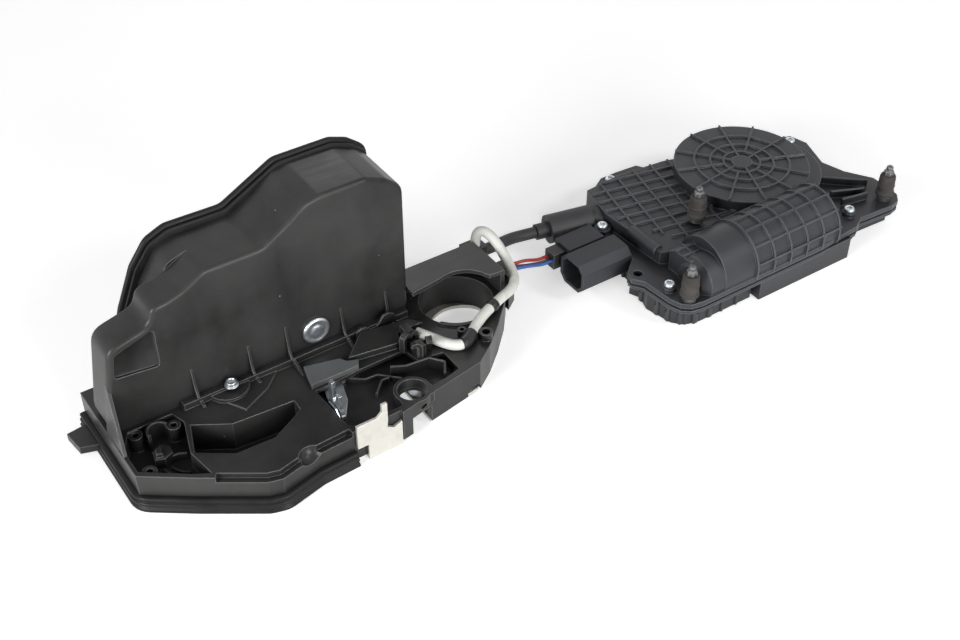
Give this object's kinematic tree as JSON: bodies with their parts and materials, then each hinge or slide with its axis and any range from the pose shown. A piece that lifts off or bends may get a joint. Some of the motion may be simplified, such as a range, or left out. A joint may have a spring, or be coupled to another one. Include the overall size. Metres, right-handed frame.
{
  "type": "door latch with closing drive",
  "caption": "Car door latch in a black moulded housing with a tall actuator cover, joined by a pull cable and wires to a flat geared closing drive.",
  "frame": {"origin": "axis of the lock cylinder bore, in the outer face of the latch plate, on which both units rest", "axes": "+Z along the bore axis, away from the plate; +X along the unit from the latch to the closing drive; +Y towards the rear of the tall cover"},
  "size_m": [0.4575, 0.1177, 0.1108],
  "materials": {
    "housing_black": "fine texture",
    "pad_grey": "satin",
    "seal_rubber": "matt",
    "plate_zinc": "zinc plated",
    "zinc": "bright zinc plated",
    "spring_steel": "satin",
    "sleeve_white": "satin",
    "jacket_black": "satin",
    "wire_red": "satin",
    "wire_brown": "satin",
    "wire_blue": "satin",
    "drive_black": "satin",
    "gasket_black": "matt",
    "bush_rubber": "matt",
    "stud_steel": "black",
    "pin_tin": "tin plated",
    "motor_steel": "satin",
    "gear_white": "natural"
  },
  "bodies": {
    "latch": {"latch_base": "housing_black", "actuator_cover": "housing_black", "bore_hood": "housing_black", "mechanism_cover": "housing_black", "cable_clips": "housing_black", "shelf_pad": "pad_grey", "foot_seal": "seal_rubber", "rear_seal": "seal_rubber", "latch_plate": "plate_zinc", "wall_button": "zinc", "catch_pin": "zinc", "pawl_pin": "zinc", "lever_pin": "zinc", "deck_screw": "zinc", "drive_screws": "zinc", "catch_spring": "spring_steel", "pawl_spring": "spring_steel", "cable_sleeve": "sleeve_white", "drive_cable_jacket": "jacket_black", "cable_boot": "jacket_black", "cable_ferrule": "jacket_black", "wire_grommet": "jacket_black", "wire_red": "wire_red", "wire_brown": "wire_brown", "wire_blue": "wire_blue", "drive_housing": "drive_black", "drive_lid": "drive_black", "connector_shell": "drive_black", "wire_plug": "drive_black", "cable_holder": "drive_black", "drive_gasket": "gasket_black", "bush_front": "bush_rubber", "bush_middle": "bush_rubber", "bush_right": "bush_rubber", "stud_front": "stud_steel", "stud_middle": "stud_steel", "stud_right": "stud_steel", "socket_pins": "pin_tin", "motor_can": "motor_steel", "wheel_axle": "motor_steel", "drum_axle": "motor_steel"},
    "catch": {"catch": "zinc"},
    "pawl": {"pawl": "zinc"},
    "release_lever": {"release_lever": "zinc"},
    "worm": {"worm_shaft": "motor_steel"},
    "worm_wheel": {"worm_wheel": "gear_white"},
    "output": {"output_gear": "gear_white", "cable_drum": "gear_white"}
  },
  "joints": [
    {"name": "catch_turn", "type": "hinge", "parent": "latch", "child": "catch", "pos_m": [-0.076, -0.018, 0.0053], "axis": [0, 0, 1], "range_deg": [0, 40], "stiffness_Nm_per_rad": 0.02},
    {"name": "pawl_turn", "type": "hinge", "parent": "latch", "child": "pawl", "pos_m": [-0.044, -0.0275, 0.0053], "axis": [0, 0, 1], "range_deg": [0, 18]},
    {"name": "lever_turn", "type": "hinge", "parent": "latch", "child": "release_lever", "pos_m": [-0.084, -0.012, 0.0158], "axis": [0, 0, 1], "range_deg": [0, 15], "stiffness_Nm_per_rad": 0.02},
    {"name": "output_turn", "type": "hinge", "parent": "latch", "child": "output", "pos_m": [0.188, 0, 0.02], "axis": [0, 0, 1], "range_deg": [0, 100]},
    {"name": "wheel_turn", "type": "hinge", "parent": "latch", "child": "worm_wheel", "pos_m": [0.194, -0.028, 0.02], "axis": [0, 0, 1], "range_deg": [-460, 0]},
    {"name": "worm_turn", "type": "hinge", "parent": "latch", "child": "worm", "pos_m": [0.18, -0.049, 0.0205], "axis": [1, 0, 0], "range_deg": [0, 6140]}
  ],
  "couplings": [
    {"joint": "wheel_turn", "follows": "output_turn", "ratio": -4.6},
    {"joint": "worm_turn", "follows": "output_turn", "ratio": 61.333}
  ]
}
